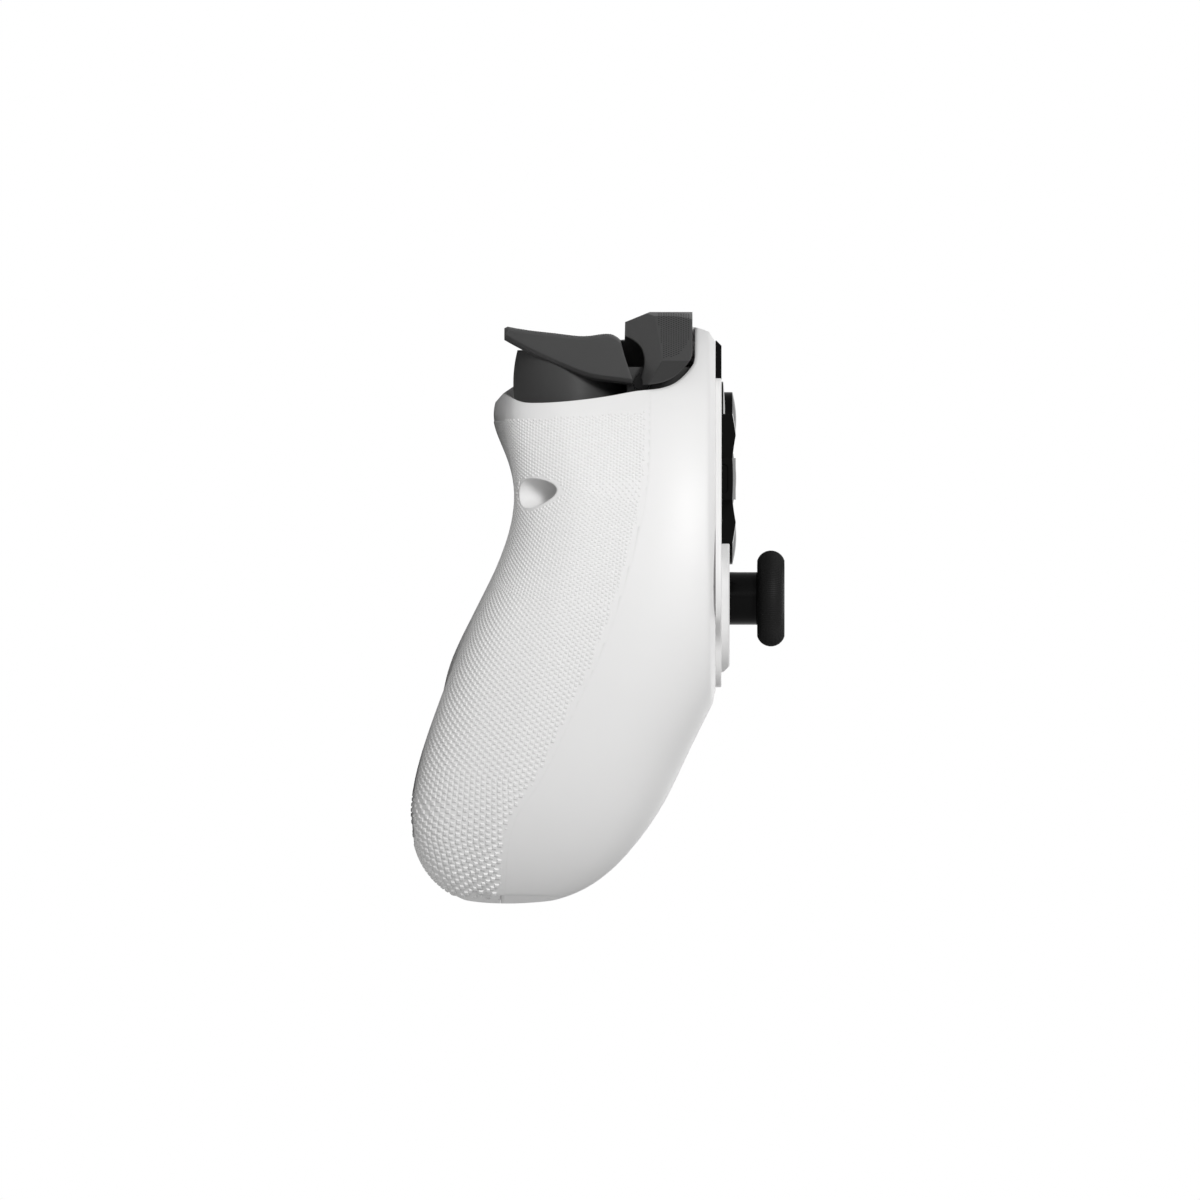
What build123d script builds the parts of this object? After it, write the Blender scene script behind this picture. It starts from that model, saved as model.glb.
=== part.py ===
from build123d import *
import math
import os

# Two-stick gamepad, in millimetres. While it is built, the flat face is the plane Z = 0 and looks
# along +Z, the triggers are towards +Y and the player's right is +X. For export the pad is leaned
# back, so that it lies on its grips and trigger tips as on a table, face up.

# Overall sizes: the width, and the place of the grips' ends along Y
pad_width = 158.0
grip_end = -55.0
half = pad_width / 2

# Form of the two shells. Each section runs from an inner point to an outer point, both (x, y).
outer_line = [(0, 48.7), (26, 48.7), (half - 28, 46.6), (half - 11.5, 36.5), (half - 3, 18), (half, -5)]
outer_line += [(half - 0.8, -25), (half - 4, grip_end + 15), (half - 8.5, grip_end + 6.4)]
outer_line += [(half - 12.4, grip_end + 2.2)]
inner_line = [(0, -21.5), (19, -21.5), (30, -22.4), (half - 42.5, -25.6), (half - 38.5, -30)]
inner_line += [(half - 35, -35.5), (half - 31, grip_end + 13), (half - 26.5, grip_end + 6.8)]
inner_line += [(half - 22.2, grip_end + 3), (half - 18.8, grip_end + 0.7)]
# How square each section is: 2 is an oval, larger is boxier.
squareness = [5.0, 5.0, 5.0, 4.6, 3.8, 3.0, 2.6, 2.4, 2.3, 2.2]
# Share of the grip's depth in each section, the rest is the shallower middle of the back.
grip_share = [0.0, 0.12, 0.55, 1.0, 1.0, 1.0, 1.0, 1.0, 1.0, 1.0]
# Side profile as (y, z): front, back of the grips and back of the middle. The front is cut flat at
# Z = 0, so its value above that only sets how round the edge of the face is.
front_profile = [(48.7, 6), (-4, 6), (-11, 3.9), (-17.2, 0), (-21.6, -2.8), (-30.2, -6.1)]
front_profile += [(grip_end + 16.3, -10.6), (grip_end + 9.9, -15.4), (grip_end + 5.6, -19.8)]
front_profile += [(grip_end + 3.5, -23.2), (grip_end + 1.3, -28.6), (grip_end + 0.3, -33.9)]
front_profile += [(grip_end, -37.5)]
grip_profile = [(48.7, -36), (40, -38.4), (33, -39.5), (26, -37.1), (18, -35), (8.3, -37.6)]
grip_profile += [(-8.8, -45.3), (-25.9, -51.5), (grip_end + 16.3, -54.2), (grip_end + 7.7, -52.2)]
grip_profile += [(grip_end + 3.5, -48.5), (grip_end + 1.3, -44.6), (grip_end + 0.3, -41)]
grip_profile += [(grip_end, -37.5)]
middle_profile = [(48.7, -34), (43, -36), (38.4, -37.5), (34, -39), (29, -38), (15, -32.4), (0, -28.6)]
middle_profile += [(-20, -26)]

face_bevel = 1.3
wall = 2.0
seam = 0.05
fit = 0.2
play = 0.1
far = 120.0

# Parting line between the shells, as (y, z)
parting = [(28.2, -12.2), (14.6, -13.6), (2.9, -16.6), (-7.4, -20), (-20.8, -26.1)]
parting += [(grip_end + 20.9, -32.9), (grip_end + 8.5, -37.8), (grip_end - 5, -38.6)]

# Slope behind the top edge of the middle, as (y, z)
crown = [(49.5, -13), (46.1, -16.2), (45.6, -22), (43.8, -29), (38, -35.6), (36.5, -37.8), (34, -40)]

# Rim of the trigger bays, as (y, z): behind and along the triggers, then round the bumpers
bay_rim = [(37.6, -39.5), (36.4, -37.3), (35.2, -35.2), (34.8, -32), (35, -27.7), (36.4, -17)]
bay_corner = [(37.1, -12.5), (37.5, -9.4), (38.7, -6.7), (41.2, -4.3), (43.6, -3.65)]
bay_inner = 20.0
bay_wall = 1.6

# Face plates and the panel between them
plate_height = 1.07
plate_top = 39.2
plate_bottom = -15.8
plate_gap = 0.3
plate_round = 0.3
plate_side = [(half - 13, -9.8), (half - 5.3, -4), (half - 7.4, 18), (half - 17.7, 33.7)]
plate_ends = (half - 21, half - 23)
panel_top = 45.9
panel_outline = [(28, panel_top), (33.5, plate_top), (26.8, 28.5), (24, 10.2)]
panel_bevel = 0.9

# Stick bridge
bridge_top = 2.5
bridge_high = 9.9
bridge_low = -13.1
bridge_reach = 38.0
bridge_corner = 9.0
bridge_bevel = 0.3
bridge_slope = 1.1

# Sticks
stick_x = 26.0
stick_y = 0.0
pivot_z = -8.0
cap_radius = 8.45
cap_bottom = 7.4
cap_top = 12.3
cap_dish = 0.8
cap_dish_radius = 5.8
post_radius = 4.7
post_core = 3.0
post_tenon = 3.0
dome_radius = 9.6
dome_wall = 1.2
dome_angle = 50.0
well_ring = 0.5
well_clear = 0.6
lever_radius = 1.6
click_travel = 0.5
# Tilt each way, which adds up to more in the corners, and the well that leaves room for it
stick_tilt = 13.0
corner_tilt = math.radians(stick_tilt * math.sqrt(2))
well_radius = post_radius + (bridge_top - pivot_z) * math.tan(corner_tilt) + well_clear
module_side = 15.0
module_wall = 1.0
module_top = -5.5
trunnion = 1.0
# Half the width and half the depth of the yoke, of its opening and of the lever's block in it
yoke_size = (5.4, 4.6)
yoke_opening = (3.6, 3.2)
lever_block = (2.4, 2.9)

# Main board
board_top = -14.0
board_thick = 1.6
board_high = 33.4
board_low = -14.5
board_half = half - 20
board_tab = 45.8 - wall

# D-pad
dpad_x = -44.0
dpad_y = 21.3
dpad_span = 23.1
dpad_arm = 7.4
dpad_middle = 2.7
dpad_ridge = 3.6
dpad_ridge_at = 8.5
dpad_tip = 3.1
dpad_inset = (5.2, 2.2, 0.25)
dpad_gap = 0.5
dpad_pivot_z = -6.0
dpad_ball = 1.9
dpad_rock = 3.0
dpad_foot_at = 8.3
dpad_foot_gap = 0.25
flange_radius = 12.4
flange_top = -3.3
flange_thick = 1.2

# Face buttons
face_x = 44.0
face_y = 21.4
face_pitch = 10.3
button_radius = 5.05
button_edge = 3.0
button_dome = 0.7
button_travel = 1.5
button_gap = 0.2
button_flange = 0.85
button_stem = 3.0
membrane_thick = 0.8
dome_height = 0.5
dome_base = 2.6
membrane_margin = 3.6

# Small buttons of the panel: name, x, y, radius
panel_buttons = {
    "home_button": (0, 33, 5.6),
    "view_button": (-13, 27.5, 2.8),
    "menu_button": (13, 27.5, 2.8),
    "share_button": (0, 20.5, 2.8),
}
panel_proud = 0.6
panel_travel = 0.6
switch_height = 0.8
light_y = 43.0
light_length = 12.0
light_width = 1.6

# Triggers and their shafts
trigger_y = 38.4
trigger_z = -13.1
trigger_radius = 22.9
trigger_wall = 1.6
trigger_inner = 25.0
trigger_outer = half - 16.3
skirt_inner = 28.0
skirt_outer = half - 20.8
skirt_low = 32.0
skirt_high_angle = 14.7
skirt_gap = 0.4
# Top of the skirt, inside the blade, and roof of the hollow under it, in side view as (y, z)
skirt_top = [(trigger_y + 1, trigger_z), (39.6, -18.6), (44.2, -32.6)]
skirt_roof = [(28, -17.6), (37.9, -17.6), (38.8, -22)]
swing_spare = 1.6
hub_radius = 2.8
shaft_radius = 1.5
trigger_pull = 16.0
# Blade in side view as (y, z): top, tip and underside
blade_top = [(46, -16.9), (47, -18.5), (46.75, -22.3), (47.1, -27.7), (47.7, -33), (48.4, -37)]
blade_tip = (48.1, -37.6)
blade_low = [(46, -37.6), (44.5, -34.9), (40.6, -26.6), (38.9, -21.8), (38.3, -17.5), (37.9, -14.8)]
# Slant of the facet on the blade's outer end, backwards and upwards, and its rounded edge as
# (inset, distance from the facet)
facet_slant = (12.0, 11.0)
facet_edge = [(0, 1.4), (0.25, 0.6), (0.7, 0)]
blade_corner = 8.0
# Round side of the skirt in plan: middle, width and depth
flank_x = half - 36
flank_z = -26.0
flank_wide = skirt_outer - flank_x
flank_deep = 11.4
bracket_wall = 2.0
bracket_low = 35.4
bracket_high = 41.2
bracket_bar = 39.0
cheek_at = (skirt_inner - 2.4, skirt_outer - 2.6)
cheek_room = 4.6
spring_from = 41.0
spring_to = 48.0
spring_wire = 0.4

# Bumpers and their pins
bumper_proud = 2.6
bumper_depth = 1.3
bumper_gap = 0.45
# Top and back of the bumper in side view, as (y, z)
bumper_top = 51.0
bumper_back = [(bumper_top, -11.7), (49.2, -16.1), (45.1, -16.2), (38.9, -13)]
# Corners in plan of its outer facet and of the short facet at its end
bumper_facets = [(half - 31.5, 50.2), (half - 14.7, 42.3), (half - 11.8, 38.4)]
# Bevel behind the outer facet: heights of its edge at both ends, its depth and its width
bevel_edge = (-10.9, -9.5)
bevel_depth = 2.5
bevel_width = 2.9
bumper_arm = 24.8
bumper_arm_back = [(38.5, -18.3), (45.9, -18.3), (45.9, -12), (38.5, -12)]
bumper_pin_x = 22.8
bumper_pin_y = 43.5
bumper_pin_radius = 1.0
bumper_lug = 2.2
bumper_press = 0.9
bumper_rise = 0.15 + (bumper_facets[-1][0] - bumper_pin_x) * math.radians(bumper_press)

# Screws as (x, y, height of the seat under the head)
screw_places = [(half - 7, 18.7, -24), (half - 15, grip_end + 14.2, -47.5)]
well_bore = 2.65
head_radius = 2.3
head_height = 1.8
shank_radius = 1.2
boss_radius = 3.4
boss_top = [-13.6, -36.6]
board_screws_at = [(27, 28), (27, -12)]

# Sockets and battery
usb_width = 9.0
usb_height = 3.2
usb_depth = 7.4
usb_wall = 0.35
usb_mouth = 48.2
jack_radius = 1.8
jack_width = 6.4
jack_height = 5.4
jack_length = 14.0
jack_mouth = -21.2
jack_bore = 12.5
jack_neck = 3.2
battery_size = (52, 27, 5.6)
battery_y = 8.5
battery_foam = 0.6

# Rumble motors
motor_x = half - 19
motor_z = -27.0
motor_radius = 7.5
motor_front = -11.0
motor_back = -28.0
motor_shaft = 1.0
weight_radius = 8.0
weight_thick = 6.0
motor_ribs = [-14.0, -25.0]
rib_thick = 1.6

lean = 10.7


def smooth(knots, y):
    """Value at y on a smooth curve through the knots (y, value), which are sorted by falling y."""
    if y >= knots[0][0]:
        return knots[0][1]
    if y <= knots[-1][0]:
        return knots[-1][1]
    i = next(k for k in range(len(knots) - 1) if knots[k + 1][0] <= y)

    def slope(k):
        before, after = knots[max(k - 1, 0)], knots[min(k + 1, len(knots) - 1)]
        return (after[1] - before[1]) / (after[0] - before[0])

    (y0, v0), (y1, v1) = knots[i], knots[i + 1]
    span = y1 - y0
    t = (y - y0) / span
    rise = (2 * t**3 - 3 * t**2 + 1) * v0 + (3 * t**2 - 2 * t**3) * v1
    return rise + span * ((t**3 - 2 * t**2 + t) * slope(i) + (t**3 - t**2) * slope(i + 1))


def form_point(i, side, inset, angle):
    """Point of section i of the form at an angle round it, moved inwards by the inset."""
    (outer_x, outer_y), (inner_x, inner_y) = outer_line[i], inner_line[i]
    width = math.hypot(outer_x - inner_x, outer_y - inner_y)
    power = 2 / squareness[i]
    across = math.copysign(abs(math.cos(angle)) ** power, math.cos(angle))
    up = math.copysign(abs(math.sin(angle)) ** power, math.sin(angle))
    share = 0.5 + 0.5 * across * (1 - 2 * inset / width)
    x = inner_x + (outer_x - inner_x) * share
    y = inner_y + (outer_y - inner_y) * share
    front = smooth(front_profile, y) - inset
    grip = grip_share[i]
    back = smooth(grip_profile, y) * grip + smooth(middle_profile, y) * (1 - grip) + inset
    middle = (min(front, 0) + back) / 2
    z = middle + up * (front - middle if up > 0 else middle - back)
    return Vector(side * x, y, z)


def form_section(i, side, inset, steps=5):
    """Closed section of the form, from four splines that meet tangent to each other."""
    quarter = math.pi / 2
    turn = 1e-4
    corners = [form_point(i, side, inset, k * quarter) for k in range(4)]
    tangents = []
    for k in range(4):
        after = form_point(i, side, inset, k * quarter + turn)
        tangents.append(after - form_point(i, side, inset, k * quarter - turn))
    edges = []
    for k in range(4):
        inner = [form_point(i, side, inset, (k + j / steps) * quarter) for j in range(1, steps)]
        ends = (corners[k], corners[(k + 1) % 4])
        slopes = (tangents[k], tangents[(k + 1) % 4])
        edges.append(Edge.make_spline([ends[0], *inner, ends[1]], tangents=slopes))
    return Wire(edges)


def pad_form(inset=0.0):
    """Whole outer form, or the same form moved inwards, lofted from one grip's end to the other."""
    ends = zip(outer_line, inner_line)
    widths = [math.hypot(outer[0] - inner[0], outer[1] - inner[1]) for outer, inner in ends]
    used = [i for i, width in enumerate(widths) if width > 3 * inset + 2.5]
    left = [form_section(i, -1, inset) for i in reversed(used[1:])]
    return Solid.make_loft(left + [form_section(i, 1, inset) for i in used])


def side_face(points):
    return Plane.YZ * make_face(Polyline(*points, close=True))


def side_prism(points, x0, x1):
    """Solid between x0 and x1 with a side profile of (y, z) points."""
    return Pos(x0, 0, 0) * extrude(side_face(points), x1 - x0)


def slab(x0, x1, y0, y1, z0, z1):
    return Pos((x0 + x1) / 2, (y0 + y1) / 2, (z0 + z1) / 2) * Box(x1 - x0, y1 - y0, z1 - z0)


def post(x, y, z0, z1, radius):
    return Pos(x, y, (z0 + z1) / 2) * Cylinder(radius, z1 - z0)


def bar_y(x, z, y0, y1, radius):
    return Pos(x, (y0 + y1) / 2, z) * Rot(X=90) * Cylinder(radius, y1 - y0)


def bar_x(y, z, x0, x1, radius):
    return Pos((x0 + x1) / 2, y, z) * Rot(Y=90) * Cylinder(radius, x1 - x0)


def other_side(shape):
    return mirror(shape, about=Plane.YZ)


def both_sides(shape):
    return [shape, other_side(shape)]


def cross(span, arm, z0, z1):
    """Upright cross about the D-pad's centre."""
    tall = Box(arm, span, z1 - z0) + Box(span, arm, z1 - z0)
    return Pos(dpad_x, dpad_y, (z0 + z1) / 2) * tall


def dpad_feet():
    """Places of the D-pad's feet, one under each arm."""
    return [(dpad_x + dpad_foot_at * x, dpad_y + dpad_foot_at * y) for x, y in [(1, 0), (-1, 0), (0, 1), (0, -1)]]


face_places = {
    "button_top": (face_x, face_y + face_pitch),
    "button_bottom": (face_x, face_y - face_pitch),
    "button_left": (face_x - face_pitch, face_y),
    "button_right": (face_x + face_pitch, face_y),
}

# Shells


def parting_region(shift, front):
    """Everything in front of the parting line, or behind it, with the line moved along Z."""
    points = [(y, z + shift) for y, z in parting]
    end = far if front else -far
    start = (70, points[0][1])
    curve = Spline(*points[:-1], tangents=((-1, 0), (-1, -0.06)))
    edges = [Line(start, points[0]), curve, Line(points[-2], points[-1])]
    edges.append(Polyline(points[-1], (points[-1][0], end), (70, end), start))
    return Pos(-far, 0, 0) * extrude(Plane.YZ * make_face(edges), 2 * far)


def shell_screw_bosses():
    """Bosses round the shell screws, as tall as the form."""
    return [both_sides(post(x, y, -60, 0, boss_radius)) for x, y, _ in screw_places]


def crown_cut(inset):
    """Everything above the slope behind the top edge, moved inwards by the inset."""
    slope = [(y - inset, z + inset / 3) for y, z in crown]
    return side_prism([(far, slope[0][1]), *slope, (slope[-1][0], -far), (far, -far)], -far, far)


def cavity():
    """Room inside both shells."""
    room = (pad_form(wall) & slab(-far, far, -far, far, -far, -wall)) - crown_cut(wall)
    for pair in shell_screw_bosses():
        room -= pair
    side_wall = slab(bay_inner - bay_wall, bay_inner, board_high + fit, 60, -60, 0)
    room -= both_sides(side_wall)
    return room


def motor_ribs_cut():
    """Cradle ribs behind the motors' axis."""
    ribs = []
    for y in motor_ribs:
        rib = slab(motor_x - 22, motor_x + 22, y - rib_thick / 2, y + rib_thick / 2, -60, motor_z)
        ribs += both_sides(rib - bar_y(motor_x, motor_z, -40, 0, motor_radius + play))
    return ribs


def rim_round_bumper(rise, gap):
    """Edges of the rim round a bumper, from its lowest point out past the top."""
    points = [(y + rise, z - gap) for y, z in bay_corner]
    end = (bumper_top + 9, points[-1][1])
    return [Spline(*points, tangents=((0.08, 1), (1, 0))), Line(points[-1], end)]


def bays():
    """Openings for the triggers and bumpers."""
    edges = rim_round_bumper(0, 0)
    top = edges[1] @ 1
    edges.append(Spline(*bay_rim, bay_corner[0], tangents=((-1, 1.4), (0.08, 1))))
    edges.append(Polyline(top, (top.X, -60), (bay_rim[0][0], -60), bay_rim[0]))
    return both_sides(Pos(bay_inner, 0, 0) * extrude(Plane.YZ * make_face(edges), far))


def swing_room():
    """Room in the rear wall for the triggers' skirts."""
    low, high = skirt_inner - skirt_gap, skirt_outer + skirt_gap
    room = bar_x(trigger_y, trigger_z, low, high, trigger_radius + skirt_gap)
    lowest = about_pivot(trigger_radius, skirt_angle() - trigger_pull)[0] - swing_spare
    return both_sides(room & slab(0, far, lowest, trigger_y, -60, -25))


def face_openings(bottom, top, extra):
    """Openings through the face for everything that is pressed or tilted."""
    cuts = [cross(dpad_span + 2 * (dpad_gap + extra), dpad_arm + 2 * (dpad_gap + extra), bottom, top)]
    for x, y in face_places.values():
        cuts.append(post(x, y, bottom, top, button_radius + button_gap + extra))
    return cuts


def panel_openings(bottom, top, extra):
    cuts = [post(x, y, bottom, top, r + button_gap + extra) for x, y, r in panel_buttons.values()]
    cuts.append(light_bar(bottom, top, fit / 2 + extra))
    return cuts


def light_bar(bottom, top, extra):
    side = light_width / 2 + extra
    bar = slab(-light_length / 2, light_length / 2, light_y - side, light_y + side, bottom, top)
    ends = [post(s * light_length / 2, light_y, bottom, top, side) for s in (-1, 1)]
    return bar + ends


def socket_openings():
    """Openings for the wired socket at the top and the headset socket at the bottom."""
    usb_z = board_top + usb_height / 2
    usb = Pos(0, 48, usb_z) * Rot(X=90) * extrude(
        RectangleRounded(usb_width + 0.8, usb_height + 0.8, (usb_height + 0.7) / 2), 8, both=True
    )
    jack = bar_y(0, board_top + jack_height / 2, -30, -10, jack_radius + 1.2)
    return [usb, jack]


def front_shell(form, room):
    shell = form - slab(-far, far, -far, far, 0, far)
    face_edge = shell.edges().group_by(Axis.Z)[-1].sort_by(Axis.Y)[-1]
    shell = chamfer(face_edge, face_bevel) & parting_region(0, True)
    shell -= room
    shell -= bays()
    for (x, y, _), top in zip(screw_places, boss_top):
        shell -= both_sides(post(x, y, top - far, top + 9, shank_radius - 0.2))
    boss = post(bumper_pin_x, bumper_pin_y, -5.6, -wall / 2, bumper_lug)
    hole = post(bumper_pin_x, bumper_pin_y, -far, -wall, bumper_pin_radius + 0.05)
    shell += both_sides(boss)
    shell -= both_sides(hole)
    for x, y in board_screws_at:
        shell += both_sides(post(x, y, board_top + 0.05, -wall / 2, 2.6))
        shell -= both_sides(post(x, y, board_top - 1, board_top + 7, 0.8))
    shell -= face_openings(-wall - 1, 1, 0.1)
    shell -= panel_openings(-wall - 1, 1, 0.1)
    shell -= [post(s * stick_x, stick_y, -wall - 1, 1, well_radius + well_ring) for s in (-1, 1)]
    shell -= socket_openings()
    return shell


def rear_shell(form, room):
    ribbed = room - motor_ribs_cut()
    shell = (form & parting_region(-seam, False)) - ribbed
    shell -= bays()
    shell -= swing_room()
    for x, y, seat in screw_places:
        shell -= both_sides(post(x, y, -far, seat, well_bore))
        shell -= both_sides(post(x, y, -far, far, shank_radius + play))
    shell -= socket_openings()
    return shell


def shell_screws():
    screws = []
    for (x, y, seat), top in zip(screw_places, boss_top):
        screw = post(x, y, seat - head_height, seat, head_radius)
        screw += post(x, y, seat, top + 7, shank_radius - 0.25)
        socket = Pos(x, y, seat - head_height) * extrude(RegularPolygon(1.2, 6), 1.1)
        screws += both_sides(screw - socket)
    return Compound(screws)


# Face plates, panel and bridge


def panel_area(gap):
    """Plan of the centre panel, widened by a gap at its sides and its lower edge."""
    right = [(x + gap, y) for x, y in panel_outline[:-1]]
    right.append((panel_outline[-1][0] + gap, panel_outline[-1][1] - gap))
    left = [(-x, y) for x, y in reversed(right)]
    return make_face(Polyline(*right, *left, close=True))


def face_outline():
    """Slab of plate height with the outline of both white plates together."""
    low_end, high_end = plate_ends
    rise, lean_in = (0.25, 1), (-0.75, 1)
    side = Spline(*plate_side, tangents=(rise, lean_in))
    lower = Spline((low_end, plate_bottom), plate_side[0], tangents=((1, 0), rise))
    upper = Spline(plate_side[-1], (high_end, plate_top), tangents=(lean_in, (-1, 0)))
    ends = Polyline((high_end, plate_top), (0, plate_top), (0, plate_bottom), (low_end, plate_bottom))
    right = extrude(make_face([lower, side, upper, ends]), plate_height)
    return right + other_side(right)


def face_plate_pair():
    """White plates left and right of the panel, split at the middle under the bridge."""
    block = face_outline()
    block = fillet(block.edges().group_by(Axis.Z)[-1], plate_round)
    block -= extrude(panel_area(plate_gap), 10, both=True)
    block -= slab(-plate_gap / 2, plate_gap / 2, -far, far, -1, 9)
    block -= face_openings(-1, 9, 0)
    block -= [post(s * stick_x, stick_y, -1, 9, well_radius + well_ring) for s in (-1, 1)]
    return [block & slab(-far, 0, -far, far, -1, 9), block & slab(0, far, -far, far, -1, 9)]


def center_panel():
    panel = extrude(panel_area(0), plate_height)
    top_edge = panel.edges().group_by(Axis.Z)[-1].sort_by(Axis.Y)[-1]
    panel = chamfer(top_edge, panel_bevel)
    panel -= panel_openings(-1, 9, 0)
    return panel


def stick_bridge():
    """Raised plate under both sticks, with a slope along its lower edge."""
    height = bridge_high - bridge_low
    outline = Pos(0, bridge_low + height / 2) * RectangleRounded(2 * bridge_reach, height, bridge_corner)
    bridge = Pos(0, 0, plate_height) * extrude(outline, bridge_top - plate_height)
    bridge = chamfer(bridge.edges().group_by(Axis.Z)[-1], bridge_bevel)
    low, top = bridge_low - 1, bridge_top + 1
    edge = [(low, top - bridge_slope - 2), (bridge_low + bridge_slope + 1, top), (low, top)]
    bridge -= side_prism(edge, -far, far)
    bridge -= [post(s * stick_x, stick_y, -1, 9, well_radius + well_ring + 0.05) for s in (-1, 1)]
    return bridge


def stick_ring():
    """Ring that lines the right stick's well."""
    ring = post(stick_x, stick_y, -wall, bridge_top, well_radius + well_ring - 0.05)
    return ring - post(stick_x, stick_y, -wall - 1, bridge_top + 1, well_radius)


# Boards and what stands on them


def main_board():
    bottom = board_top - board_thick
    board = slab(-board_half, board_half, 8, board_high, bottom, board_top)
    board += slab(-37, 37, board_low, 9, bottom, board_top)
    board += slab(-16, 16, 30, board_tab, bottom, board_top)
    for x, y in board_screws_at:
        board -= both_sides(post(x, y, bottom - 1, board_top + 1, 1.2))
    for x, y, _ in panel_buttons.values():
        board += slab(x - 2, x + 2, y - 2, y + 2, board_top, board_top + switch_height)
    return board


def board_screws():
    bottom = board_top - board_thick
    screws = []
    for x, y in board_screws_at:
        screw = post(x, y, bottom - 1.3, bottom - 0.05, 1.9)
        screw += post(x, y, bottom - 0.05, board_top + 5, 0.75)
        screws += both_sides(screw)
    return Compound(screws)


def battery():
    width, height, thick = battery_size
    top = board_top - board_thick - battery_foam
    low, high = battery_y - height / 2, battery_y + height / 2
    pack = slab(-width / 2, width / 2, low, high, top - thick, top)
    return fillet(pack.edges().filter_by(Axis.Y), thick / 2 - 0.1)


def usb_socket():
    z = board_top + usb_height / 2
    outline = RectangleRounded(usb_width, usb_height, usb_height / 2 - 0.05)
    wide, high = usb_width - 2 * usb_wall, usb_height - 2 * usb_wall
    bore = RectangleRounded(wide, high, high / 2 - 0.05)
    shell = extrude(outline, usb_depth) - Pos(0, 0, -1) * extrude(bore, usb_depth)
    shell += Pos(0, 0, 1.2) * extrude(Rectangle(6.6, 0.7), usb_depth - 1.2)
    return Pos(0, usb_mouth, z) * Rot(X=90) * shell


def audio_jack():
    z = board_top + jack_height / 2
    side, mouth = jack_width / 2, jack_mouth
    top = board_top + jack_height
    body = slab(-side, side, mouth + jack_neck, mouth + jack_length, board_top + 0.05, top)
    body += bar_y(0, z, mouth, mouth + jack_neck + 0.8, jack_radius + 1.0)
    return body - bar_y(0, z, mouth - 1, mouth + jack_bore, jack_radius)


def membranes():
    """Rubber sheets with a dome under each key."""
    low, high = board_top, board_top + membrane_thick
    side = face_pitch + membrane_margin
    face = slab(face_x - side, face_x + side, face_y - side, board_high, low, high)
    for x, y in face_places.values():
        face += post(x, min(y, board_high - dome_base - 0.1), high, high + dome_height, dome_base)
    side = dpad_span / 2
    dpad = slab(dpad_x - side, dpad_x + side, dpad_y - side, dpad_y + side, low, high)
    for x, y in dpad_feet():
        dpad += post(x, y, high, high + dome_height, dome_base)
    return face, dpad


def stick_parts():
    """Pieces of the right stick: module, yoke, lever, post and cap."""
    x, y, side = stick_x, stick_y, module_side / 2
    module = slab(x - side, x + side, y - side, y + side, board_top, module_top)
    room = side - module_wall
    module -= slab(x - room, x + room, y - room, y + room, board_top + 1, 0)
    module -= bar_x(y, pivot_z, x - far, x + far, trunnion + play)
    wide, deep = yoke_size
    yoke = slab(x - wide, x + wide, y - deep, y + deep, pivot_z - 1.5, pivot_z + 1.5)
    wide, deep = yoke_opening
    yoke -= slab(x - wide, x + wide, y - deep, y + deep, -20, 0)
    yoke += bar_x(y, pivot_z, x - side + 0.1, x - wide - 0.1, trunnion)
    yoke += bar_x(y, pivot_z, x + wide + 0.1, x + side - 0.1, trunnion)
    yoke -= bar_y(x, pivot_z, y - 6, y + 6, trunnion + play)
    wide, deep = lever_block
    lever = slab(x - wide, x + wide, y - deep, y + deep, pivot_z - 1.8, pivot_z + 1.8)
    lever += bar_y(x, pivot_z, y - 4.5, y + 4.5, trunnion)
    lever += post(x, y, pivot_z, 3, lever_radius)
    lever += post(x, y, pivot_z - 4, pivot_z, 1.1)
    shaft = post(x, y, -3.4, cap_bottom, post_core) + post(x, y, 0.8, cap_bottom, post_radius)
    shaft += post(x, y, cap_bottom - 1, cap_top - 1.8, post_tenon)
    dome = Pos(x, y, pivot_z) * (Sphere(dome_radius) - Sphere(dome_radius - dome_wall))
    low = pivot_z + dome_radius * math.cos(math.radians(dome_angle))
    shaft += dome & slab(x - 20, x + 20, y - 20, y + 20, low, 9)
    shaft -= post(x, y, -9, 3 + click_travel + fit, lever_radius + play)
    return module, yoke, lever, shaft, stick_cap()


def stick_cap():
    """Cap with a fully rounded rim and a dished top."""
    height = cap_top - cap_bottom
    cap = Cylinder(cap_radius, height)
    cap = fillet(cap.edges().filter_by(GeomType.CIRCLE), height / 2 - 0.02)
    ball = (cap_dish_radius**2 + cap_dish**2) / (2 * cap_dish)
    cap -= Pos(0, 0, height / 2 - cap_dish + ball) * Sphere(ball)
    cap -= Pos(0, 0, -1.7) * Cylinder(post_tenon + 0.05, height)
    return Pos(stick_x, stick_y, cap_bottom + height / 2) * cap


# Keys


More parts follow.
